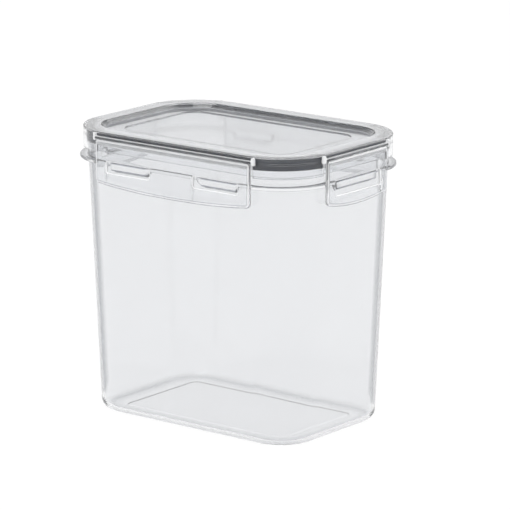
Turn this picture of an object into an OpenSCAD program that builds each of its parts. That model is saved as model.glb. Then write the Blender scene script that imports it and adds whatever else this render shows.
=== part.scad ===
// Rectangular food canister with a clip-lock lid: a clear container, a clear lid with a silicone
// seal, and four flaps that hang from living hinges on the lid and close over tabs on the container.
// Origin at the middle of the base, +X along the long side, +Z up.

/* [Overall] */
// Height to the top of the lid
overall_h = 170; // [150:1:190]
// Length over the closed end flaps
overall_l = 175; // [165:1:190]
// Width over the closed side flaps
overall_w = 121.4; // [114:0.2:132]
// Plan radius of the collar's corners
collar_r = 36; // [34:0.5:38]

/* [Container] */
// Wall thickness
wall_t = 1.8; // [1.4:0.1:2.2]
// Floor thickness
floor_t = 1.3; // [1.1:0.1:2.2]
// Outward lean of the walls, in degrees
draft = 2.5; // [1.5:0.1:2.6]
// How far the neck's outer face stands inside the collar's edge
collar_reach = 4.8; // [4.6:0.1:5.4]
// Rounding of the edge between wall and base
base_edge_r = 10.5; // [8:0.5:11.5]
// Length of the sunken panel under the base
foot_panel_l = 116; // [110:1:122]
// Width of the sunken panel under the base
foot_panel_w = 65; // [56:1:68]
// Depth of the sunken panel under the base
foot_depth = 0.4; // [0.3:0.1:0.8]
// Thickness of the collar plate
collar_t = 1.8; // [1.4:0.1:2.2]
// Drop from the lid's top to the collar's top
collar_drop = 16.8; // [16:0.1:18]
// Drop from the lid's top to the container's rim
rim_drop = 7.9; // [7.4:0.1:8.2]

/* [Lid] */
// How far the corner skirts stand inside the collar's edge
skirt_inset = 2; // [1.9:0.1:2.4]
// Thickness of the corner skirts
skirt_t = 1.6; // [1.4:0.1:1.8]
// Drop from the lid's top to the lower edge of the corner skirts
skirt_drop = 12.5; // [11:0.1:13.5]
// Thickness of the plate over the seal
plate_t = 1; // [0.9:0.1:1.2]
// Thickness of the plug wall
plug_t = 1.4; // [1.2:0.1:1.6]
// Depth of the sunken top panel
panel_depth = 2.5; // [2:0.1:3]
// Plan distance of the sunken panel's lower edge outside the corner centres
panel_r = 21.5; // [19:0.5:22]
// How much further the middle of the panel is sunk
centre_depth = 0.6; // [0.3:0.1:0.8]
// Plan distance of the middle's edge outside the corner centres
centre_r = 10; // [8:0.5:12]

/* [Flaps] */
// Width of each long flap
long_flap_w = 113.2; // [104:0.2:116]
// Width of each short flap
short_flap_w = 57; // [50:0.5:60]
// Flap thickness
flap_t = 1.9; // [1.7:0.1:2]
// Drop from the lid's top to the lowest point of the flaps
flap_drop = 32.5; // [30:0.1:36]
// How much higher the flap's lower edge is at its ends than at its middle
flap_bow = 3; // [1:0.1:4]
// Radius of the flap's lower corners
flap_corner_r = 3; // [2:0.1:4]
// Width of each window in a long flap
long_window_w = 32; // [28:0.5:34]
// Distance between the middles of a long flap's windows
long_window_pitch = 64; // [60:0.5:66]
// Width of the window in a short flap
short_window_w = 42; // [36:0.5:44]
// Window height in a long flap
long_window_h = 6.2; // [6:0.1:7]
// Window height in a short flap
short_window_h = 8.2; // [6:0.1:8.4]

/* [Hinges] */
// Drop from the lid's top to the hinge axis
hinge_drop = 3.2; // [3:0.1:3.6]
// Radius of the hinge film
film_r = 0.45; // [0.4:0.01:0.48]
// Running clearance between the film and the flap's groove
hinge_gap = 0.06; // [0.03:0.01:0.09]

/* [Hidden] */
$fn = 96;
arc_steps = 8;
cut = 1;                                        // how far a cutting solid overshoots

// Every outline is a rounded rectangle about the same four corner centres. Sections are drawn as
// [distance outside the corner centres, height].
track_x = overall_l / 2 - collar_r;
track_y = overall_w / 2 - collar_r;

// Container section
lean = tan(draft);
collar_top = overall_h - collar_drop;
rim_z = overall_h - rim_drop;
neck_r = collar_r - collar_reach;
base_r = neck_r - collar_top * lean;            // wall's outer face carried down to the base plane
inner_base_r = base_r - wall_t / cos(draft);
floor_top = foot_depth + floor_t;
inner_edge_r = base_edge_r - wall_t;
rim_round = wall_t / 3;
foot_corner_r = 3.5;

// Room behind the flaps
back_gap = 0.7;                                 // gap between a flap and what stands behind it
end_gap = 0.7;                                  // gap at each end of a flap
flap_in = collar_r - flap_t;                    // flap's inner face
set_back = flap_in - back_gap;                  // collar and lid wall behind a flap

// Catch tabs
tab_reach = 0.5;                                // how far a tab enters its window
tab_tip = flap_in + tab_reach;
tab_gap = 1;                                    // gap between a tab's side and its window
tab_drop = 5;                                   // height of a tab's outer face
tab_root_drop = 7;
tab_lead = 0.7;                                 // slope under a tab's outer face
tab_chamfer = [0.4, 0.6];                       // on a tab's upper edge

// Lid section
lid_r = collar_r - skirt_inset;
groove_out = lid_r - skirt_t;
groove_top = overall_h - plate_t;
plug_gap = 0.5;
plug_out = neck_r - wall_t - plug_gap;
plug_in = plug_out - plug_t;
plug_lead = [0.4, 1];                           // on the plug's outer lower edge
skirt_bottom = overall_h - skirt_drop;
skirt_chamfer = [0.6, 0.8];                     // on the skirts' outer lower edge
top_edge_r = 1.2;
panel_slope = 2;                                // plan width of the slope around the sunken panel
panel_t = 1.1;
wall_behind_drop = 7.5;                         // lower edge of the lid wall behind a flap

// Ledge above each flap, and the boss at each of its ends
ledge_lift = 0.5;                               // gap between the hinge axis and the ledge
ledge_t = 0.4;
ledge_chamfer = [0.3, 0.3];                     // on the ledge's outer lower edge
boss_w = 2;
boss_drop = [0.5, 5];                           // drop from the lid's top to the boss's top and bottom
boss_chamfer = 0.4;
root = 0.5;                                     // how far a ledge or boss runs into the lid wall

// Seal section
seal_gap = 0.1;
seal_side_gap = 0.4;                            // gap between the seal and the lid's outer wall
seal_lift = 0.2;                                // gap between the rim and the seal
seal_in = plug_out + seal_gap;
seal_out = groove_out - seal_side_gap;
seal_chamfer = 0.3;

// Hinge section
axis_r = collar_r - film_r;
axis_z = overall_h - hinge_drop;
ledge_bottom = axis_z + ledge_lift;
web_t = 0.5;
groove_r = film_r + hinge_gap;
notch = [0.17, -0.47];                          // where the flap's top notch starts, from the axis
notch_angle = -62;
notch_run = 2;

// Flap outline
flap_top = axis_z - hinge_gap;
flap_bottom = overall_h - flap_drop;
window_lift = 0.4;                              // gap between a tab's top and its window's upper edge
window_top = collar_top + window_lift;
window_corner_r = 1;
ramp_gap = 0.35;                                // gap between a tab's tip and the flap below a window

sides = [
    ["right", 0, track_x, track_y, short_flap_w, short_window_w, short_window_h, [0]],
    ["rear", 90, track_y, track_x, long_flap_w, long_window_w, long_window_h, [-1, 1]],
    ["left", 180, track_x, track_y, short_flap_w, short_window_w, short_window_h, [0]],
    ["front", 270, track_y, track_x, long_flap_w, long_window_w, long_window_h, [-1, 1]]];

function named(name) = [for (s = sides) if (s[0] == name) s][0];

function arc(centre, r, from, to) =
    [for (i = [0 : arc_steps]) let (a = from + (to - from) * i / arc_steps)
        centre + r * [cos(a), sin(a)]];

// Distance outside the corner centres of a leaning wall that starts at r0
function wall_at(r0, z) = r0 + z * lean;

// Rounded edge of radius r between a floor at height z and a leaning wall
function edge_arc(r0, z, r) =
    arc([wall_at(r0, z + r) - r / cos(draft), z + r], r, -90, -draft);

function reversed(points) = [for (i = [len(points) - 1 : -1 : 0]) points[i]];

// Puts a section, drawn at distance 0 and up, on one side of the box
module on_side(s) {
    rotate([0, 0, s[1]]) translate([s[2], 0, 0]) children();
}

// A section drawn along one side, for a length about the side's middle
module along(length) {
    translate([0, length / 2, 0]) rotate([90, 0, 0]) linear_extrude(height = length) children();
}

// Carries a section all the way round the box
module sweep() {
    for (s = sides) {
        on_side(s) {
            along(2 * s[3]) children();
            translate([0, s[3], 0]) rotate_extrude(angle = 90) children();
        }
    }
}

// Fills the middle of the box between two heights
module middle(z0, z1) {
    translate([-track_x, -track_y, z0]) cube([2 * track_x, 2 * track_y, z1 - z0]);
}

// An upright block with rounded corners about the origin
module rounded_block(l, w, r, z0, z1) {
    translate([0, 0, z0]) {
        translate([-l / 2 + r, -w / 2, 0]) cube([l - 2 * r, w, z1 - z0]);
        translate([-l / 2, -w / 2 + r, 0]) cube([l, w - 2 * r, z1 - z0]);
        for (x = [-1, 1], y = [-1, 1])
            translate([x * (l / 2 - r), y * (w / 2 - r), 0]) cylinder(h = z1 - z0, r = r);
    }
}

// A box on one side, from one distance to another and between two heights
module side_box(s, half_length, r0, r1, z0, z1) {
    on_side(s) translate([r0, -half_length, z0]) cube([r1 - r0, 2 * half_length, z1 - z0]);
}

module container_section() {
    polygon(concat(
        [[0, 0]],
        edge_arc(base_r, 0, base_edge_r),
        arc([wall_at(base_r, rim_z) - rim_round, rim_z - rim_round], rim_round, 0, 90),
        arc([wall_at(inner_base_r, rim_z) + rim_round, rim_z - rim_round], rim_round, 90, 180),
        reversed(edge_arc(inner_base_r, floor_top, inner_edge_r)),
        [[0, floor_top]]));
}

module collar_section() {
    edge = collar_t / 2;
    polygon(concat(
        [[neck_r - wall_t / 2, collar_top - collar_t]],
        arc([collar_r - edge, collar_top - edge], edge, -90, 90),
        [[neck_r - wall_t / 2, collar_top]]));
}

module tab_section() {
    polygon([
        [neck_r - wall_t / 2, collar_top - tab_root_drop],
        [tab_tip - tab_lead, collar_top - tab_drop],
        [tab_tip, collar_top - tab_drop + tab_lead],
        [tab_tip, collar_top - tab_chamfer[1]],
        [tab_tip - tab_chamfer[0], collar_top],
        [neck_r - wall_t / 2, collar_top]]);
}

// Clear box with its collar and the tabs that the flap windows close over
module container() {
    color([0.90, 0.92, 0.94, 0.5]) {
        difference() {
            union() {
                sweep() container_section();
                middle(0, floor_top);
            }
            rounded_block(foot_panel_l, foot_panel_w, foot_corner_r, -cut, foot_depth);
        }
        difference() {
            sweep() collar_section();
            for (s = sides)
                side_box(s, s[4] / 2 + end_gap, set_back, collar_r + cut,
                         collar_top - collar_t - cut, collar_top + cut);
        }
        for (s = sides, place = s[7])
            on_side(s) translate([0, place * long_window_pitch / 2, 0])
                along(s[5] - 2 * tab_gap) tab_section();
    }
}

// Upper line of the lid's panel, from the ring's inner edge to the middle
function panel_line(ring_z) = [
    [panel_r + panel_slope, ring_z], [panel_r, ring_z - panel_depth],
    [centre_r, ring_z - panel_depth], [centre_r - centre_depth, ring_z - panel_depth - centre_depth],
    [0, ring_z - panel_depth - centre_depth]];

module lid_section() {
    polygon(concat(
        reversed(panel_line(overall_h - panel_t)),
        [[plug_in, overall_h - panel_t], [plug_in, skirt_bottom],
         [plug_out - plug_lead[0], skirt_bottom], [plug_out, skirt_bottom + plug_lead[1]],
         [plug_out, groove_top], [groove_out, groove_top], [groove_out, skirt_bottom],
         [lid_r - skirt_chamfer[0], skirt_bottom], [lid_r, skirt_bottom + skirt_chamfer[1]]],
        arc([lid_r - top_edge_r, overall_h - top_edge_r], top_edge_r, 0, 90),
        panel_line(overall_h)));
}

// Ledge that a flap's film hangs from
module ledge_section() {
    polygon([
        [set_back - root, ledge_bottom], [collar_r - ledge_chamfer[0], ledge_bottom],
        [collar_r, ledge_bottom + ledge_chamfer[1]], [collar_r, ledge_bottom + ledge_t],
        [set_back - root, ledge_bottom + ledge_t]]);
}

// Block at each end of a ledge
module boss_section() {
    boss_top = overall_h - boss_drop[0];
    boss_bottom = overall_h - boss_drop[1];
    polygon([
        [set_back - root, boss_bottom], [axis_r - boss_chamfer, boss_bottom],
        [axis_r, boss_bottom + boss_chamfer], [axis_r, boss_top - boss_chamfer],
        [axis_r - boss_chamfer, boss_top], [set_back - root, boss_top]]);
}

// Clear cover: sunken panel, plug wall, seal groove, corner skirts, hinge ledges and end bosses
module lid() {
    middle_top = overall_h - panel_depth - centre_depth;
    color([0.88, 0.90, 0.92, 0.5]) {
        difference() {
            union() {
                sweep() lid_section();
                middle(middle_top - panel_t, middle_top);
            }
            for (s = sides) {
                side_box(s, s[4] / 2 + end_gap, set_back, collar_r, skirt_bottom - cut, ledge_bottom);
                side_box(s, s[4] / 2 + end_gap, groove_out - cut, collar_r, skirt_bottom - cut,
                         overall_h - wall_behind_drop);
            }
        }
        for (s = sides) {
            on_side(s) along(s[4] + 2 * end_gap) ledge_section();
            for (end = [-1, 1])
                on_side(s) translate([0, end * (s[4] / 2 + end_gap + boss_w / 2), 0])
                    along(boss_w) boss_section();
        }
    }
}

// Silicone ring between the plug wall and the skirts, just above the container's rim
module seal() {
    seal_bottom = rim_z + seal_lift;
    seal_top = groove_top - seal_gap / 2;
    color([0.30, 0.32, 0.36])
        sweep() polygon([
            [seal_in, seal_bottom + seal_chamfer], [seal_in + seal_chamfer, seal_bottom],
            [seal_out - seal_chamfer, seal_bottom], [seal_out, seal_bottom + seal_chamfer],
            [seal_out, seal_top], [seal_in, seal_top]]);
}

// Flap outline with a bowed lower edge, drawn as [along the side, height]
module flap_outline(w) {
    half = w / 2;
    bow_r = (half * half + flap_bow * flap_bow) / (2 * flap_bow);
    tilt = asin((half - flap_corner_r) / (bow_r - flap_corner_r));
    corner = [half - flap_corner_r, flap_bottom + bow_r - (bow_r - flap_corner_r) * cos(tilt)];
    polygon(concat(
        [[-half, flap_top]],
        arc([-corner[0], corner[1]], flap_corner_r, 180, 270 - tilt),
        [for (i = [1 : 2 * arc_steps - 1]) let (a = -90 - tilt + tilt * i / arc_steps)
            [0, flap_bottom + bow_r] + bow_r * [cos(a), sin(a)]],
        arc(corner, flap_corner_r, tilt - 90, 0),
        [[half, flap_top]]));
}

// Flap on one side: plate with its windows, the relief below them and the hinge groove
module flap(s) {
    relief_r = tab_tip + ramp_gap;
    notch_end = notch + notch_run * [cos(notch_angle), sin(notch_angle)];
    color([0.92, 0.94, 0.96, 0.5])
        difference() {
            on_side(s) translate([flap_in, 0, 0])
                rotate([90, 0, 90]) linear_extrude(height = flap_t) flap_outline(s[4]);
            for (place = s[7])
                on_side(s) translate([0, place * long_window_pitch / 2, 0]) {
                    translate([flap_in - cut, 0, window_top - s[6] / 2])
                        rotate([0, 90, 0])
                            rounded_block(s[6], s[5], window_corner_r, 0, flap_t + 2 * cut);
                    translate([flap_in - cut, -s[5] / 2, flap_bottom - cut])
                        cube([relief_r - flap_in + cut, s[5], window_top - s[6] / 2 - flap_bottom + cut]);
                }
            on_side(s) along(s[4] + 2 * cut)
                translate([axis_r, axis_z])
                    polygon([[0, cut], notch, notch_end, [notch_end[0], cut]]);
            on_side(s) translate([axis_r, s[4] / 2 + cut, axis_z])
                rotate([90, 0, 0]) cylinder(h = s[4] + 2 * cut, r = groove_r);
        }
}

// Living hinge on one side: a round film on the hinge axis, hung from the rail by a thin web
module hinge_film(s) {
    color([0.95, 0.96, 0.97, 0.6])
        on_side(s) {
            translate([axis_r, s[4] / 2, axis_z]) rotate([90, 0, 0]) cylinder(h = s[4], r = film_r);
            along(s[4]) translate([axis_r - web_t / 2, axis_z]) square([web_t, ledge_lift]);
        }
}

module flap_front() { flap(named("front")); }
module flap_rear() { flap(named("rear")); }
module flap_left() { flap(named("left")); }
module flap_right() { flap(named("right")); }
module hinge_film_front() { hinge_film(named("front")); }
module hinge_film_rear() { hinge_film(named("rear")); }
module hinge_film_left() { hinge_film(named("left")); }
module hinge_film_right() { hinge_film(named("right")); }

container();
lid();
seal();
flap_front();
flap_rear();
flap_left();
flap_right();
hinge_film_front();
hinge_film_rear();
hinge_film_left();
hinge_film_right();
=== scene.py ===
"""A clear food canister with a clip-lock lid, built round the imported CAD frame.

Every outline is a rounded rectangle about the same four corner centres, so the container, the lid and
the seal are lofts: a section, drawn as [distance outside the corner centres, height], is carried round
the box and changes where the flaps, the bosses and the catch tabs are. Lengths are in millimetres until
a mesh is made.
"""
import math

import bmesh
import bpy
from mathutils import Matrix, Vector, geometry


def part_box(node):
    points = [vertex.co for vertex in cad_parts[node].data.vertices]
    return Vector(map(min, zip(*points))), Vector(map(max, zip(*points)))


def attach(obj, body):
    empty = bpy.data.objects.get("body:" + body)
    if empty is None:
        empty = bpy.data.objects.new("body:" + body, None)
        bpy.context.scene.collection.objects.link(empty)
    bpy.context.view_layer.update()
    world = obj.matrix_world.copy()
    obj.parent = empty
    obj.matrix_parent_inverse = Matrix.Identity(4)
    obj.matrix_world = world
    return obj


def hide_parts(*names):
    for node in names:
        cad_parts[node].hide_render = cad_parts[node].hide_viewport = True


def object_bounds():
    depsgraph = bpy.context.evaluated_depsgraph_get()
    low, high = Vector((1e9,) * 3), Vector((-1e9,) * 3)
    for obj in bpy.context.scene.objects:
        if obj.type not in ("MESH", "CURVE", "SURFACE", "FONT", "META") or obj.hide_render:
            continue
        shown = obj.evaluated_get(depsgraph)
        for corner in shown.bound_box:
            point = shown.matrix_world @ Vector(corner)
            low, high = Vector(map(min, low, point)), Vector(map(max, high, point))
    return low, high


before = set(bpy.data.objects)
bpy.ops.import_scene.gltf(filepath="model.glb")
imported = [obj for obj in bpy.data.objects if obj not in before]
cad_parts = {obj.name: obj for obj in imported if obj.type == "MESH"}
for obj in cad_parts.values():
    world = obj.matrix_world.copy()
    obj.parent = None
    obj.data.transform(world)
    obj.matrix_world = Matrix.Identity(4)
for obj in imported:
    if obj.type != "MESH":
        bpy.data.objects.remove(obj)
cad_low, cad_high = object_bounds()

MM = 0.001
TOP = cad_high.z / MM

# Plan: corner centres and distances outside them
COLLAR_R = 36.0
TRACK_X = cad_high.x / MM - COLLAR_R
TRACK_Y = cad_high.y / MM - COLLAR_R

# Container
WALL = 1.8
DRAFT = math.radians(2.5)
NECK_R = 31.2
COLLAR_TOP = TOP - 16.8
COLLAR_T = 1.8
RIM_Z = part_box("container")[1].z / MM
BASE_R = NECK_R - COLLAR_TOP * math.tan(DRAFT)
BASE_EDGE = 10.5
FOOT_X, FOOT_Y, FOOT_CORNER, FOOT_DEPTH = 58.0, 32.5, 3.5, 0.4
# (inset, share of the depth) of the rings that round the sunken base panel's edge
FOOT_RINGS = ((1.2, 1.0), (0.6, 1.0), (0.4, 0.95), (0.2, 0.7), (0.05, 0.3), (-0.1, 0.05), (-0.35, 0.0),
              (-0.8, 0.0))
FLOOR_TOP = 1.7
FLAT_BASE = 3.0
SET_BACK_R = 33.4

# Flaps
FLAP_T = 1.9
FLAP_IN = COLLAR_R - FLAP_T
FLAP_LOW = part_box("flap_front")[0].z / MM
FLAP_BOW = 3.0
FLAP_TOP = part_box("flap_front")[1].z / MM - 0.5
LONG_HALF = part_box("flap_front")[1].x / MM
SHORT_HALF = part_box("flap_right")[1].y / MM
END_GAP = 0.7
WINDOW_TOP = COLLAR_TOP + 0.4
SCOOP_DEPTH, SCOOP_RISE, SCOOP_PAST, SCOOP_FADE = 0.85, 1.5, 2.8, 4.0
TAB_TIP = FLAP_IN + 0.5
TAB_GAP = 1.0
TAB_FACE, TAB_ROOT = 4.6, 4.2
GRID_STEP, GRID_ROWS, GRID_MARGIN = 2.0, 15, 1.9
RIM_BAND = 0.1

# Hinges
FILM_R = 0.45
HINGE_R = COLLAR_R - FILM_R
HINGE_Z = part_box("hinge_film_front")[0].z / MM + FILM_R
WEB_HALF = 0.25

# Lid
LID_R = 34.0
SKIRT_T = 1.6
SKIRT_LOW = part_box("lid")[0].z / MM
BEHIND_LOW = TOP - 7.5
CLEAR_LOW = TOP - 4.4
PLUG_OUT = 28.9
PLUG_IN = 27.5
GROOVE_TOP = TOP - 1.0
PANEL_Z, PANEL_R, PANEL_SLOPE, PANEL_T = TOP - 2.5, 21.5, 2.0, 1.1
CENTRE_Z, CENTRE_R, CENTRE_SLOPE = PANEL_Z - 0.6, 10.0, 0.6
LEDGE_LOW = HINGE_Z + 0.5
LEDGE_TOP = LEDGE_LOW + 0.4
BOSS_W = 2.0
BOSS_TOP, BOSS_LOW = TOP - 0.5, TOP - 5.0

# side: (turn about +Z in degrees, reach to the track, half length of the track, half width of its flap,
#        window width, window height, middles of its windows)
SIDES = {
    "right": (0, TRACK_X, TRACK_Y, SHORT_HALF, 42.0, 8.2, (0.0,)),
    "rear": (90, TRACK_Y, TRACK_X, LONG_HALF, 32.0, 6.2, (-32.0, 32.0)),
    "left": (180, TRACK_X, TRACK_Y, SHORT_HALF, 42.0, 8.2, (0.0,)),
    "front": (270, TRACK_Y, TRACK_X, LONG_HALF, 32.0, 6.2, (-32.0, 32.0)),
}
SIDE_ORDER = list(SIDES)

# Spacing of the path's stops: millimetres on the straights, degrees on the corners
STRAIGHT_STEP, CORNER_STEP = 6.0, 2.5

# Where the container's base edge is milky and where its painted dark shade line at the foot is: (top, fade)
# in height
MILKY_TOP, MILKY_FADE = 3.5, 2.5
FOOT_LINE_TOP, FOOT_LINE_FADE = 0.7, 0.5
# A tab's face stays free of painted shade this far above and below its middle
TAB_CLEAR_HALF = 1.45
# Where a flap's painted dark edge lines, painted shade, grow darker towards its lower edge: (top, fade)
# above that edge
LINE_SHADE_TOP, LINE_SHADE_FADE = 8.0, 4.0

# Milkiness and painted shade, as (milky, strength of painted dark shade), each from 0 to 1
CLEAR = (0.0, 0.0)
MILKY = (1.0, 0.0)
# The ring over the seal and the panel are milky and painted darker as shade; the slope's upper part carries
# a painted dark shade line
RING_MILKY_AND_SHADE = (0.6, 0.25)
PANEL_MILKY_AND_SHADE = (0.25, 0.47)
SLOPE_LOW_FINISH = (0.1, 0.0)
SLOPE_SHADE_LINE = (0.0, 0.7)
# Milkiness of the base edge, and strength of the painted shade line at its foot
BASE_MILKY, BASE_FOOT_SHADE = 0.08, 0.5
# Milkiness of the collar's edge, and strength of the painted shade on the tabs' upper and lower edges
COLLAR_MILKY, TAB_EDGE_SHADE = 0.5, 1.0
BEVEL_MILKY, WINDOW_MILKY = 0.5, 1.0
# Strength of the painted shade on a flap's edge lines, and how much darker it grows near the flap's lower
# edge
EDGE_LINE_SHADE, EDGE_LINE_SHADE_BELOW = 0.45, 0.55
# How far a finish laps past a flap's end, and how near an outer edge counts as being on it
LAP = 0.3
EDGE_BAND = 1.0


# ---------------------------------------------------------------- sections and paths

def smooth(x):
    """0 below 0, 1 above 1 and a smooth step between."""
    x = min(max(x, 0.0), 1.0)
    return x * x * (3 - 2 * x)


def mix(a, b, share):
    """Two lists of (distance, height, rounding) blended point by point."""
    return [tuple(p + (q - p) * share for p, q in zip(m, n)) for m, n in zip(a, b)]


def rounded(corners, closed=False, steps=6):
    """A section through corners of (distance, height, rounding): true arcs, and close-set points at the
    ends of each straight so that flat faces shade flat. The number of points never depends on the sizes."""
    share_of_side, least_tangent, most_guard = 0.4, 0.04, 0.3
    count = len(corners)
    points = []
    for i, (x, z, radius) in enumerate(corners):
        if not closed and i in (0, count - 1):
            points.append((x, z))
            continue
        here = Vector((x, z))
        before = Vector(corners[i - 1][:2])
        after = Vector(corners[(i + 1) % count][:2])
        back, on = before - here, after - here
        reach = min(back.length, on.length) * share_of_side
        back.normalize()
        on.normalize()
        half_angle = back.angle(on, math.pi) / 2
        tangent = min(max(radius / max(math.tan(half_angle), 1e-6), least_tangent), reach)
        start, end = here + back * tangent, here + on * tangent
        weight = math.sin(half_angle)
        guard = min(most_guard, reach * share_of_side)
        points.append(tuple(start + back * guard))
        for step in range(steps + 1):
            s = step / steps
            a, b, c = (1 - s) ** 2, 2 * s * (1 - s) * weight, s * s
            points.append(tuple((start * a + here * b + end * c) / (a + b + c)))
        points.append(tuple(end + on * guard))
    return points


def stops(start, end, step, marks, close=0.12):
    """Even stops from start to end, with five close ones about each mark."""
    count = max(round((end - start) / step), 1)
    even = [start + (end - start) * i / count for i in range(count + 1)]
    near = [m + k * close for m in marks for k in (-2, -1, 0, 1, 2) if start < m + k * close < end]
    kept = [e for e in even if e in (start, end) or all(abs(e - n) > close * 0.8 for n in near)]
    return sorted(kept + [n for n in near if abs(n - start) > 0.02 and abs(n - end) > 0.02])


class Stop:
    """A place on the path: the track point, the outward direction, the side it belongs to, how far along
    that side it is, and how far it lies past the end of the nearest flap."""

    def __init__(self, centre, outward, side, along):
        self.centre, self.outward, self.side, self.along = centre, outward, side, along
        self.past = abs(along) - SIDES[side][3]

    def at(self, distance, height):
        x, y = self.centre + self.outward * distance
        return (x, y, height)

    def distance(self, vert):
        return (Vector(vert[:2]) - self.centre).dot(self.outward)


def whole_path():
    """Stops all the way round the box, close together where a section changes."""
    path = []
    for index, side in enumerate(SIDE_ORDER):
        turn, reach, half, flap_half, window, _, middles = SIDES[side]
        turn = math.radians(turn)
        outward = Vector((math.cos(turn), math.sin(turn)))
        forward = Vector((-math.sin(turn), math.cos(turn)))
        tab = window / 2 - TAB_GAP
        marks = [m + s * tab for m in middles for s in (-1, 1)]
        for along in stops(-half, half, STRAIGHT_STEP, marks):
            path.append(Stop(outward * reach + forward * along, outward, side, along))
        corner = outward * reach + forward * half
        next_side = SIDE_ORDER[(index + 1) % 4]
        next_half, next_flap = SIDES[next_side][2:4]
        edges = (END_GAP, END_GAP + BOSS_W)
        here = [math.degrees(math.asin((flap_half + e - half) / COLLAR_R)) for e in edges]
        there = [90 - math.degrees(math.asin((next_flap + e - next_half) / COLLAR_R)) for e in edges]
        for angle in stops(0, 90, CORNER_STEP, here + there)[1:-1]:
            a = math.radians(angle)
            direction = outward * math.cos(a) + forward * math.sin(a)
            if angle < 45:
                path.append(Stop(corner, direction, side, half + COLLAR_R * math.sin(a)))
            else:
                path.append(Stop(corner, direction, next_side,
                                 -next_half - COLLAR_R * math.cos(a)))
    return path


PATH = whole_path()


# ---------------------------------------------------------------- meshes

def new_piece(name, verts, faces, body, node, material):
    """A closed, smooth-shaded mesh object that rides on a body and stands for a CAD node."""
    mesh = bpy.data.meshes.new(name)
    mesh.from_pydata([Vector(v) * MM for v in verts], [], faces)
    bm = bmesh.new()
    bm.from_mesh(mesh)
    bmesh.ops.recalc_face_normals(bm, faces=bm.faces)
    bm.to_mesh(mesh)
    bm.free()
    mesh.shade_smooth()
    mesh.materials.append(material)
    piece = bpy.data.objects.new(name, mesh)
    bpy.context.scene.collection.objects.link(piece)
    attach(piece, body)
    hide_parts(node)
    return piece


def paint(piece, milky_and_shade):
    """Stores how milky the plastic is at each vertex, and how strongly it is painted dark as shade."""
    for name, values in zip(("frosting", "depth"), zip(*milky_and_shade)):
        piece.data.attributes.new(name, "FLOAT", "POINT").data.foreach_set("value", values)


def loft(loops, ring=False):
    """Vertices and faces that join closed loops of equal length. The ends are capped, or joined for a
    ring."""
    size = len(loops[0])
    verts = [v for loop in loops for v in loop]
    faces = []
    last = len(loops) if ring else len(loops) - 1
    for k in range(last):
        a, b = k * size, (k + 1) % len(loops) * size
        for i in range(size):
            j = (i + 1) % size
            faces.append((a + i, a + j, b + j, b + i))
    if not ring:
        faces.append(tuple(range(size)))
        faces.append(tuple(range(len(verts) - size, len(verts))))
    return verts, faces


def swept(section_at):
    """Loops round the box, one for each point of the section that section_at gives for a stop."""
    sections = [section_at(stop) for stop in PATH]
    return [[stop.at(*section[k]) for stop, section in zip(PATH, sections)]
            for k in range(len(sections[0]))]


def foot_line(value, track, foot):
    """A track coordinate moved to the panel: a corner's goes to the panel's corner, the rest in step."""
    straight = foot - FOOT_CORNER
    if abs(value) >= track - 1e-6:
        return math.copysign(straight, value)
    return value * straight / track


def foot_loop(inset, height):
    """Outline of the sunken base panel, point for point beside the path."""
    loop = []
    for stop in PATH:
        x = foot_line(stop.centre.x, TRACK_X, FOOT_X)
        y = foot_line(stop.centre.y, TRACK_Y, FOOT_Y)
        out = stop.outward * (FOOT_CORNER - inset)
        loop.append((x + out.x, y + out.y, height))
    return loop


# ---------------------------------------------------------------- container

def tab_share(stop):
    """1 on a catch tab and 0 away from it."""
    window, middles = SIDES[stop.side][4], SIDES[stop.side][6]
    edge = window / 2 - TAB_GAP
    return max(smooth((edge - abs(stop.along - m)) / 1.2 + 0.2) for m in middles)


def container_section(stop):
    """Base, drafted wall, collar or catch tab, and rim, then back down the inside to the floor."""
    lean = math.tan(DRAFT)
    thick = WALL / math.cos(DRAFT)
    under = COLLAR_TOP - COLLAR_T

    def wall(height):
        return BASE_R + height * lean

    corner = smooth((stop.past - END_GAP) / 0.5 + 0.5)
    out = SET_BACK_R + (COLLAR_R - SET_BACK_R) * corner
    collar = [(wall(under), under, 0.5), (out, under, 0.6), (out, COLLAR_TOP, 0.6),
              (wall(COLLAR_TOP), COLLAR_TOP, 0.4)]
    root = under - TAB_ROOT
    tab = [(wall(root), root, 0.5), (TAB_TIP, COLLAR_TOP - TAB_FACE, 0.9),
           (TAB_TIP, COLLAR_TOP, 0.9), (wall(COLLAR_TOP), COLLAR_TOP, 0.4)]
    return rounded([
        (BASE_R - BASE_EDGE - FLAT_BASE, 0.0, 0.0), (BASE_R, 0.0, BASE_EDGE),
        *mix(collar, tab, tab_share(stop)),
        (wall(RIM_Z), RIM_Z, 0.6), (wall(RIM_Z) - thick, RIM_Z, 0.6),
        (BASE_R - thick + FLOOR_TOP * lean, FLOOR_TOP, BASE_EDGE - WALL),
        (BASE_R - BASE_EDGE - FLAT_BASE, FLOOR_TOP, 0.0)], steps=8)


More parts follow.
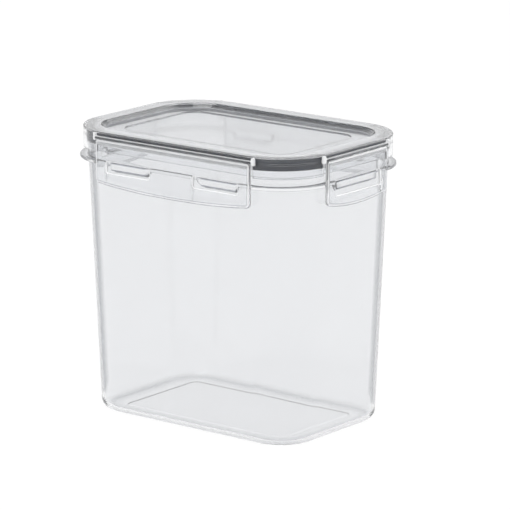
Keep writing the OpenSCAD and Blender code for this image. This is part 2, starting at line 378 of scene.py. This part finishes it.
def container_milky_and_shade(stop, r, z):
    """(milky, painted shade) at a place on the container. Its outer edge at the base is a little milky with
    a painted dark shade line at the foot, the collar's edge is milky, and the tabs' upper and lower edges
    are painted dark as shade."""
    past = r - BASE_R + BASE_EDGE
    outer = past > 1.5 and math.hypot(past, BASE_EDGE - z) > BASE_EDGE - WALL / 2
    base_edge = BASE_MILKY * smooth((MILKY_TOP - z) / MILKY_FADE) if outer else 0.0
    # Painted shade: a dark line along the foot of the base's outer edge
    painted_foot_shade = BASE_FOOT_SHADE * smooth((FOOT_LINE_TOP - z) / FOOT_LINE_FADE) if outer else 0.0
    collar_edge = COLLAR_MILKY if r > COLLAR_R - EDGE_BAND else 0.0
    off_middle = abs(z - COLLAR_TOP + TAB_FACE / 2)
    # Painted shade: the tabs' upper and lower edges are painted dark
    shaded_tab_edge = tab_share(stop) > 0.5 and r > TAB_TIP - EDGE_BAND and off_middle > TAB_CLEAR_HALF
    return max(base_edge, collar_edge), TAB_EDGE_SHADE if shaded_tab_edge else painted_foot_shade


def container(material):
    loops = swept(container_section)
    foot = [foot_loop(inset, FOOT_DEPTH * share) for inset, share in FOOT_RINGS]
    verts, faces = loft(foot + loops)
    piece = new_piece("Container", verts, faces, "container", "container", material)
    milky_and_shade = [CLEAR] * (len(foot) * len(PATH))
    for loop in loops:
        milky_and_shade += [container_milky_and_shade(stop, stop.distance(vert), vert[2]) for stop, vert in zip(PATH, loop)]
    paint(piece, milky_and_shade)
    return piece


# ---------------------------------------------------------------- lid and seal

def panel_line(ring_z, shift):
    """Corners of the panel's face from the ring to the middle. shift moves the slopes to keep the wall
    even."""
    sunk, middle = ring_z - (TOP - PANEL_Z), ring_z - (TOP - CENTRE_Z)
    return [(PANEL_R + PANEL_SLOPE + shift, ring_z, 0.3), (PANEL_R + shift, sunk, 0.3),
            (CENTRE_R + shift, sunk, 0.25), (CENTRE_R - CENTRE_SLOPE + shift, middle, 0.25),
            (4.0, middle, 0.0)]


def lid_section(stop):
    """The panel's top, the outside where a flap, a boss or a corner skirt is, the seal's groove, the plug
    wall and the panel's underside."""
    span = [(LID_R, TOP, 0.7), (LID_R, LEDGE_TOP, 0.15), (COLLAR_R, LEDGE_TOP, 0.12),
            (COLLAR_R, LEDGE_LOW + 0.25, 0.05), (COLLAR_R - 0.2, LEDGE_LOW, 0.05),
            (SET_BACK_R, LEDGE_LOW, 0.15), (SET_BACK_R, CLEAR_LOW, 0.1), (SET_BACK_R, BEHIND_LOW, 0.3)]
    boss = [(LID_R, TOP, 1.0), (LID_R, BOSS_TOP, 0.1), (HINGE_R, BOSS_TOP, 0.4),
            (HINGE_R, BOSS_TOP - 2.0, 0.1), (HINGE_R, BOSS_LOW, 0.4),
            (LID_R, BOSS_LOW, 0.15), (LID_R, BOSS_LOW - 2.0, 0.1), (LID_R, SKIRT_LOW, 0.5)]
    corner = [(LID_R, TOP, 1.2), (LID_R, TOP - 1.6, 0.1), (LID_R, TOP - 2.0, 0.1), (LID_R, TOP - 3.0, 0.1),
              (LID_R, TOP - 4.0, 0.1), (LID_R, TOP - 5.0, 0.1), (LID_R, TOP - 7.0, 0.1),
              (LID_R, SKIRT_LOW, 0.5)]
    on_boss = smooth((stop.past - END_GAP) / 0.4 + 0.5)
    on_corner = smooth((stop.past - END_GAP - BOSS_W) / 0.4 + 0.5)
    edge = mix(mix(span, boss, on_boss), corner, on_corner)
    low = edge[-1][1]
    return rounded([
        *reversed(panel_line(TOP, 0.0)), *edge,
        (LID_R - SKIRT_T, low, 0.5), (LID_R - SKIRT_T, GROOVE_TOP, 0.3), (PLUG_OUT, GROOVE_TOP, 0.3),
        (PLUG_OUT, SKIRT_LOW, 0.5), (PLUG_IN, SKIRT_LOW, 0.5), (PLUG_IN, TOP - PANEL_T, 0.6),
        *panel_line(TOP - PANEL_T, -0.3)])


def lid_milky_and_shade(stop, r, z):
    """(milky, painted shade) at a place on the lid. The bosses, the wall behind the flaps and the ledge
    over the hinges are milky, and the ring over the seal and the panel less so; the ring and the panel are
    also painted a little darker as shade. The panel's slope has a painted dark shade line."""
    by_flap = stop.past < END_GAP + LAP
    stands_out = r > LID_R + 0.1
    boss = stop.past > END_GAP - LAP and stands_out
    behind = by_flap and r > SET_BACK_R - 0.6 and z < CLEAR_LOW
    ledge = by_flap and stands_out and z > LEDGE_LOW + LAP
    if boss or behind or ledge:
        return MILKY
    slope_foot, slope_end = PANEL_R + 0.2, PANEL_R + PANEL_SLOPE + 0.25
    ring_end = LID_R - 0.9
    upper = z > TOP - 1.0
    if slope_end < r < ring_end and z > TOP - 0.1:
        return RING_MILKY_AND_SHADE
    if slope_foot <= r < PANEL_R + 1.0 and TOP - PANEL_T - 1.4 < z < TOP - 1.0:
        return SLOPE_LOW_FINISH
    # Painted shade: a dark line on the slope's upper part
    if PANEL_R + 1.2 < r < slope_end and upper:
        return SLOPE_SHADE_LINE
    if r < slope_foot and TOP - 3.3 < z < TOP - 1.4:
        return PANEL_MILKY_AND_SHADE
    return CLEAR


def lid(material):
    loops = swept(lid_section)
    verts, faces = loft(loops)
    piece = new_piece("Lid", verts, faces, "lid", "lid", material)
    paint(piece, [lid_milky_and_shade(stop, stop.distance(vert), vert[2])
                  for loop in loops for stop, vert in zip(PATH, loop)])
    return piece


def seal(material):
    """Silicone ring in the groove, just clear of the plug wall and the groove's top."""
    low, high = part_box("seal")
    inside, outside = PLUG_OUT + 0.1, high.x / MM - TRACK_X
    low_z, high_z = low.z / MM, GROOVE_TOP - 0.05
    section = rounded([(inside, low_z, 0.4), (outside, low_z, 0.4),
                       (outside, high_z, 0.2), (inside, high_z, 0.2)], closed=True)
    verts, faces = loft(swept(lambda stop: section), ring=True)
    return new_piece("Seal", verts, faces, "lid", "seal", material)


# ---------------------------------------------------------------- flaps and hinge films

def side_point(side, along, distance, height):
    """A point given on one side: along it, outside the track, and up."""
    turn, reach = math.radians(SIDES[side][0]), SIDES[side][1]
    out, c, s = reach + distance, math.cos(turn), math.sin(turn)
    return (out * c - along * s, out * s + along * c, height)


def arc(cx, cz, radius, start, end, steps):
    """Points on a circle about (cx, cz), from one angle in degrees to another."""
    return [(cx + radius * math.cos(math.radians(start + (end - start) * i / steps)),
             cz + radius * math.sin(math.radians(start + (end - start) * i / steps)))
            for i in range(steps + 1)]


def bow_radius(half):
    """Radius of a flap's bowed lower edge."""
    return (half * half + FLAP_BOW * FLAP_BOW) / (2 * FLAP_BOW)


def flap_outline(half, inset):
    """Outline of a flap with its bowed lower edge, drawn a little inside the true edge."""
    bow_r = bow_radius(half)
    corner, top_corner = 3.0, 2.1
    low_steps, top_steps = 40, 24
    tilt = math.degrees(math.asin((half - corner) / bow_r))
    end_z = FLAP_LOW + bow_r - math.sqrt((bow_r - corner) ** 2 - (half - corner) ** 2)
    r, t = corner - inset, top_corner - inset
    points = arc(-half + corner, end_z, r, 180, 270 - tilt, 8)
    points += arc(0, FLAP_LOW + bow_r, bow_r - inset, -90 - tilt, -90 + tilt, low_steps)[1:-1]
    points += arc(half - corner, end_z, r, -90 + tilt, 0, 8)
    points += arc(half - top_corner, FLAP_TOP - top_corner, t, 0, 90, 6)
    points += [(half - top_corner - (2 * half - 2 * top_corner) * i / top_steps, FLAP_TOP - inset)
               for i in range(1, top_steps)]
    points += arc(-half + top_corner, FLAP_TOP - top_corner, t, 90, 180, 6)
    return points


def window_outline(middle, width, height, inset):
    """Outline of a window, drawn outside the hole by inset."""
    corner = 1.0 + inset
    x0, x1 = middle - width / 2 - inset, middle + width / 2 + inset
    z0, z1 = WINDOW_TOP - height - inset, WINDOW_TOP + inset
    return (arc(x0 + corner, z0 + corner, corner, 180, 270, 6)
            + arc(x1 - corner, z0 + corner, corner, 270, 360, 6)
            + arc(x1 - corner, z1 - corner, corner, 0, 90, 6)
            + arc(x0 + corner, z1 - corner, corner, 90, 180, 6))


def plate_rings(face_round, back_round):
    """(inset, depth) of the rings from the outer face round the edge to the inner face."""
    rings = []
    face_steps, back_steps = 6, 4
    for i in range(face_steps + 1):
        a = math.pi / 2 * i / face_steps
        rings.append((face_round * (1 - math.sin(a)), face_round * (1 - math.cos(a))))
    for i in range(back_steps + 1):
        a = math.pi / 2 * i / back_steps
        rings.append((back_round * (1 - math.cos(a)), FLAP_T - back_round * (1 - math.sin(a))))
    return rings


WINDOW_RINGS = plate_rings(0.9, 0.3)
# The same round a flap's outside, which has a broad flat bevel. Two pairs of its rings are painted dark
# lines, painted shade.
BEVEL_SHADE_LINES = (0.01, 0.06, 0.62, 0.76)
BEVEL_RINGS = [(1.9, 0.0), (1.75, 0.01), (1.6, 0.06), (1.4, 0.14), (0.5, 0.52), (0.3, 0.62), (0.12, 0.76),
               (0.02, 0.95), (0.0, 1.15), (0.0, FLAP_T - 0.3), (0.09, FLAP_T - 0.09), (0.3, FLAP_T)]


def scoop(x, z, side):
    """How far the inner face is hollowed at a place, so that a closed flap can lift past the tabs."""
    width, height, middles = SIDES[side][4:7]
    below = smooth((WINDOW_TOP - height / 2 - z) / SCOOP_RISE)
    across = max(smooth((width / 2 + SCOOP_PAST - abs(x - m)) / SCOOP_FADE) for m in middles)
    return SCOOP_DEPTH * below * across


def inside_flap(x, z, side):
    """True inside the flap's outline and outside its windows, by at least the grid's margin."""
    half, width, height, middles = SIDES[side][3:7]
    bow_r = bow_radius(half)
    lower = FLAP_LOW + bow_r - math.sqrt(bow_r * bow_r - min(abs(x), half) ** 2)
    if abs(x) > half - GRID_MARGIN or z > FLAP_TOP - GRID_MARGIN or z < lower + GRID_MARGIN:
        return False
    return all(abs(x - m) > width / 2 + GRID_MARGIN or z > WINDOW_TOP + GRID_MARGIN
               or z < WINDOW_TOP - height - GRID_MARGIN for m in middles)


def face_grid(side):
    """Points spread over a flap's face, so that the inner face can follow the scoop."""
    half = SIDES[side][3]
    columns = int(2 * half / GRID_STEP)
    places = [(-half + GRID_STEP * i, FLAP_LOW + GRID_STEP * k)
              for i in range(1, columns) for k in range(1, GRID_ROWS)]
    return [(x, z) for x, z in places if inside_flap(x, z, side)]


def flap(side, material):
    """Plate with rings round its outline and its windows, and a triangulated face on each side."""
    half, width, height, middles = SIDES[side][3:7]
    verts, faces, milky_and_shade = [], [], []

    def add_points(points, depth, milky=0.0, line=False):
        """Adds points at a depth behind the flap's outer face and returns their numbers."""
        start = len(verts)
        for x, z in points:
            share = 1 - scoop(x, z, side) / FLAP_T
            verts.append(side_point(side, x, COLLAR_R - depth * share, z))
            # Painted shade on the edge lines, darker near the flap's lower edge
            low = smooth((FLAP_LOW + LINE_SHADE_TOP - z) / LINE_SHADE_FADE)
            milky_and_shade.append((milky, EDGE_LINE_SHADE + EDGE_LINE_SHADE_BELOW * low if line else 0.0))
        return list(range(start, start + len(points)))

    outlines = [(lambda inset: flap_outline(half, inset), BEVEL_RINGS, BEVEL_MILKY, BEVEL_SHADE_LINES)]
    outlines += [(lambda inset, m=m: window_outline(m, width, height, inset), WINDOW_RINGS,
                  WINDOW_MILKY, ()) for m in middles]
    edges = []
    for outline, rings, milky, lines in outlines:
        loops = [outline(inset) for inset, _ in rings]
        ids = []
        for points, (_, depth) in zip(loops, rings):
            # Rings listed as shade lines are painted dark and kept clear of milkiness
            line = depth in lines
            rim = RIM_BAND < depth < FLAP_T - RIM_BAND and not line
            ids.append(add_points(points, depth, milky if rim else 0.0, line))
        for a, b in zip(ids, ids[1:]):
            for i in range(len(a)):
                j = (i + 1) % len(a)
                faces.append((a[i], a[j], b[j], b[i]))
        edges.append(((loops[0], ids[0]), (loops[-1], ids[-1])))

    grid = face_grid(side)
    windows = [{number} for number in range(1, len(edges))]
    for which, depth in ((0, 0.0), (1, FLAP_T)):
        points, ids, owners, borders = [], [], [], []
        for number, edge in enumerate(edges):
            loop, loop_ids = edge[which]
            first = len(points)
            points += loop
            ids += loop_ids
            owners += [number] * len(loop)
            borders += [(first + i, first + (i + 1) % len(loop)) for i in range(len(loop))]
        ids += add_points(grid, depth)
        owners += [len(edges)] * len(grid)
        coords = [Vector(p) for p in points + grid]
        _, _, triangles, origin, _, _ = geometry.delaunay_2d_cdt(coords, borders, [], 1, 1e-6)
        for triangle in triangles:
            corners = [origin[i][0] for i in triangle]
            # A triangle with all its corners on one window's edge lies in the window
            if {owners[i] for i in corners} not in windows:
                faces.append(tuple(ids[i] for i in corners))
    name = "flap_" + side
    piece = new_piece(name.capitalize(), verts, faces, name, name, material)
    paint(piece, milky_and_shade)
    return piece


def hinge_film(side, material):
    """Round film on the hinge axis with the thin web that hangs it from the lid's ledge."""
    end_inset, skin, steps, spacing = 0.02, 0.01, 28, 8.0
    half = SIDES[side][3] - end_inset
    rise = math.degrees(math.acos(WEB_HALF / FILM_R))
    web_top = LEDGE_LOW - skin
    section = [(HINGE_R + x, HINGE_Z + z) for x, z in
               arc(0, 0, FILM_R - skin, rise, -180 - rise, steps)]
    section += [(HINGE_R - WEB_HALF, web_top), (HINGE_R + WEB_HALF, web_top)]
    loops = [[side_point(side, along, r, z) for r, z in section]
             for along in stops(-half, half, spacing, [])]
    verts, faces = loft(loops)
    name = "hinge_film_" + side
    return new_piece(name.capitalize(), verts, faces, "lid", name, material)


# ---------------------------------------------------------------- materials

# How much see-through a fully milky place loses
MOST_FROSTING = 0.8
# Sockets of the Mix node when it mixes colours
MIX_FACTOR, MIX_A, MIX_B, MIX_RESULT = 0, 6, 7, 2


def node_material(name):
    """A new material, its nodes and links, and its Principled shader."""
    material = bpy.data.materials.new(name)
    material.use_nodes = True
    nodes, links = material.node_tree.nodes, material.node_tree.links
    return material, nodes, links, nodes["Principled BSDF"]


def clear_plastic(name, tint, edge_tint_and_shade, haze, roughness, specular=0.5):
    """Moulded clear plastic: it bends light, is darker at glancing angles, partly from the longer path
    through the plastic and partly as painted shade on its edges, has a faint haze with soft flow marks, and
    is milky, or painted dark as shade, where the mesh's attributes say so."""
    material, nodes, links, shader = node_material(name)
    shader.inputs["IOR"].default_value = 1.49
    shader.inputs["Specular IOR Level"].default_value = specular
    # Darker colour at glancing angles: partly the longer path through the plastic, partly painted shade on
    # the edges
    glance = nodes.new("ShaderNodeLayerWeight")
    glance.inputs["Blend"].default_value = 0.5
    depth = nodes.new("ShaderNodeValToRGB")
    depth.color_ramp.elements[0].position = 0.5
    depth.color_ramp.elements[0].color = (*tint, 1)
    depth.color_ramp.elements[1].position = 0.63
    depth.color_ramp.elements[1].color = (*edge_tint_and_shade, 1)
    # Painted shade: the depth attribute mixes the colour towards dark slate grey along the painted dark
    # lines and bands
    painted_shade_mix = nodes.new("ShaderNodeMix")
    painted_shade_mix.data_type = "RGBA"
    painted_shade_mix.inputs[MIX_B].default_value = (0.30, 0.32, 0.36, 1)
    painted_shade_amount = nodes.new("ShaderNodeAttribute")
    painted_shade_amount.attribute_name = "depth"
    links.new(painted_shade_amount.outputs["Fac"], painted_shade_mix.inputs[MIX_FACTOR])
    links.new(depth.outputs["Color"], painted_shade_mix.inputs[MIX_A])
    links.new(painted_shade_mix.outputs[MIX_RESULT], shader.inputs["Base Color"])

    # The glancing darkening, partly painted edge shade, fades out towards the base, in metres of height
    place = nodes.new("ShaderNodeTexCoord")
    place_parts = nodes.new("ShaderNodeSeparateXYZ")
    links.new(place.outputs["Object"], place_parts.inputs["Vector"])
    above_base = nodes.new("ShaderNodeMapRange")
    above_base.inputs["From Min"].default_value = 0.003
    above_base.inputs["From Max"].default_value = 0.012
    links.new(place_parts.outputs["Z"], above_base.inputs["Value"])
    glancing = nodes.new("ShaderNodeMath")
    glancing.operation = "MULTIPLY"
    links.new(glance.outputs["Facing"], glancing.inputs[0])
    links.new(above_base.outputs["Result"], glancing.inputs[1])
    links.new(glancing.outputs["Value"], depth.inputs["Fac"])

    flow = nodes.new("ShaderNodeTexNoise")
    flow.inputs["Scale"].default_value = 22
    flow.inputs["Detail"].default_value = 3
    links.new(place.outputs["Object"], flow.inputs["Vector"])

    clear = nodes.new("ShaderNodeMapRange")
    clear.inputs["To Min"].default_value = 1 - haze * 0.7
    clear.inputs["To Max"].default_value = 1 - haze * 1.3
    links.new(flow.outputs["Fac"], clear.inputs["Value"])
    frosting = nodes.new("ShaderNodeAttribute")
    frosting.attribute_name = "frosting"
    see_through = nodes.new("ShaderNodeMath")
    see_through.operation = "MULTIPLY_ADD"
    see_through.inputs[1].default_value = -MOST_FROSTING
    see_through.use_clamp = True
    links.new(frosting.outputs["Fac"], see_through.inputs[0])
    links.new(clear.outputs["Result"], see_through.inputs[2])
    links.new(see_through.outputs["Value"], shader.inputs["Transmission Weight"])

    rough = nodes.new("ShaderNodeMapRange")
    rough.inputs["To Min"].default_value = roughness * 0.6
    rough.inputs["To Max"].default_value = roughness * 1.5
    links.new(flow.outputs["Fac"], rough.inputs["Value"])
    links.new(rough.outputs["Result"], shader.inputs["Roughness"])
    return material


def silicone(name):
    """Slate grey silicone with a fine matt grain and a faint bloom."""
    material, nodes, links, shader = node_material(name)
    place = nodes.new("ShaderNodeTexCoord")
    grain = nodes.new("ShaderNodeTexNoise")
    grain.inputs["Scale"].default_value = 900
    grain.inputs["Detail"].default_value = 4
    links.new(place.outputs["Object"], grain.inputs["Vector"])
    bloom = nodes.new("ShaderNodeTexNoise")
    bloom.inputs["Scale"].default_value = 35
    links.new(place.outputs["Object"], bloom.inputs["Vector"])
    colour = nodes.new("ShaderNodeValToRGB")
    colour.color_ramp.elements[0].position = 0.35
    colour.color_ramp.elements[0].color = (0.010, 0.017, 0.032, 1)
    colour.color_ramp.elements[1].position = 0.7
    colour.color_ramp.elements[1].color = (0.016, 0.024, 0.042, 1)
    links.new(bloom.outputs["Fac"], colour.inputs["Fac"])
    links.new(colour.outputs["Color"], shader.inputs["Base Color"])
    shader.inputs["Roughness"].default_value = 0.6
    shader.inputs["Specular IOR Level"].default_value = 0.25
    bump = nodes.new("ShaderNodeBump")
    bump.inputs["Strength"].default_value = 0.15
    bump.inputs["Distance"].default_value = 0.0001
    links.new(grain.outputs["Fac"], bump.inputs["Height"])
    links.new(bump.outputs["Normal"], shader.inputs["Normal"])
    return material


# ---------------------------------------------------------------- stage, lights and camera

def floor():
    """Pale floor just under the base. It glows evenly, so clear plastic leaves no dark patch on it."""
    just_below = -0.0001
    bpy.ops.mesh.primitive_plane_add(size=14, location=(0, 0, just_below))
    plane = bpy.context.object
    plane.name = "Floor"
    material, _, _, shader = node_material("Pale_floor")
    shader.inputs["Base Color"].default_value = (0.08, 0.08, 0.08, 1)
    shader.inputs["Roughness"].default_value = 1.0
    shader.inputs["Specular IOR Level"].default_value = 0.0
    shader.inputs["Emission Color"].default_value = (1, 1, 1, 1)
    shader.inputs["Emission Strength"].default_value = 0.96
    plane.data.materials.append(material)


def sky():
    """Soft white surroundings, greyer overhead so that clear edges show."""
    world = bpy.data.worlds.new("Studio")
    bpy.context.scene.world = world
    world.use_nodes = True
    nodes, links = world.node_tree.nodes, world.node_tree.links
    place = nodes.new("ShaderNodeTexCoord")
    split = nodes.new("ShaderNodeSeparateXYZ")
    ramp = nodes.new("ShaderNodeValToRGB")
    links.new(place.outputs["Generated"], split.inputs["Vector"])
    links.new(split.outputs["Z"], ramp.inputs["Fac"])
    ramp.color_ramp.elements[0].position = 0.35
    ramp.color_ramp.elements[0].color = (1.0, 1.0, 1.0, 1)
    ramp.color_ramp.elements[1].position = 0.95
    ramp.color_ramp.elements[1].color = (0.3, 0.305, 0.31, 1)
    overhead = ramp.color_ramp.elements.new(0.75)
    overhead.color = (0.65, 0.66, 0.67, 1)
    links.new(ramp.outputs["Color"], nodes["Background"].inputs["Color"])
    nodes["Background"].inputs["Strength"].default_value = 1.0


def softbox(name, azimuth, elevation, distance, size, power):
    """Area light that looks at the canister from a direction, in degrees, and a distance, in metres."""
    light = bpy.data.lights.new(name, "AREA")
    light.shape = "RECTANGLE"
    light.size, light.size_y = size
    light.energy = power
    lamp = bpy.data.objects.new(name, light)
    a, e = math.radians(azimuth), math.radians(elevation)
    back = Vector((math.sin(a) * math.cos(e), -math.cos(a) * math.cos(e), math.sin(e)))
    lamp.location = Vector((0, 0, TOP * MM / 2)) + back * distance
    lamp.rotation_mode = "QUATERNION"
    lamp.rotation_quaternion = (-back).to_track_quat("-Z", "Y")
    bpy.context.scene.collection.objects.link(lamp)
    return lamp


def camera():
    """Long-lens camera a little above the canister, off its front right corner."""
    azimuth, elevation = math.radians(38.28), math.radians(13.52)
    aim = Vector((7.0, 7.6, 0.5524 * TOP)) * MM
    distance = 2.157
    data = bpy.data.cameras.new("Camera")
    data.sensor_width = 36
    data.lens = 260.96
    data.clip_end = 100
    body = bpy.data.objects.new("Camera", data)
    back = Vector((math.sin(azimuth) * math.cos(elevation), -math.cos(azimuth) * math.cos(elevation),
                   math.sin(elevation)))
    body.location = aim + back * distance
    body.rotation_mode = "QUATERNION"
    body.rotation_quaternion = (-back).to_track_quat("-Z", "Y")
    bpy.context.scene.collection.objects.link(body)
    bpy.context.scene.camera = body


# ---------------------------------------------------------------- the whole scene

camera()
floor()
sky()
softbox("Key", -5, 62, 1.6, (1.0, 1.0), 10)
softbox("Fill", 120, 35, 1.8, (1.0, 1.4), 6)
sheen = softbox("Sheen", 155, 33, 1.8, (1.0, 1.0), 9)
sheen.visible_diffuse = sheen.visible_transmission = False
scene = bpy.context.scene
scene.view_settings.view_transform = "Standard"
scene.cycles.use_denoising = True
scene.cycles.max_bounces = 24
scene.cycles.transmission_bounces = 24
scene.cycles.glossy_bounces = 8

# The second colour of each plastic is its colour at glancing angles; the darkness there is partly painted
# edge shade, most on the body
body_plastic = clear_plastic("Clear_body", (0.905, 0.91, 0.92), (0.42, 0.43, 0.45),
                             haze=0.03, roughness=0.03)
lid_plastic = clear_plastic("Clear_lid", (0.96, 0.965, 0.975), (0.94, 0.945, 0.96),
                            haze=0.005, roughness=0.05, specular=0.38)
flap_plastic = clear_plastic("Clear_flap", (0.95, 0.955, 0.965), (0.90, 0.91, 0.925),
                             haze=0.05, roughness=0.04)
# The hinge film is tinted dark grey as painted shade, for the dark line of the shaded hinge groove
film_plastic_painted_dark = clear_plastic("Clear_film", (0.45, 0.46, 0.48), (0.35, 0.36, 0.38),
                             haze=0.15, roughness=0.1)

container(body_plastic)
lid(lid_plastic)
seal(silicone("Silicone"))
for side in SIDE_ORDER:
    flap(side, flap_plastic)
    hinge_film(side, film_plastic_painted_dark)
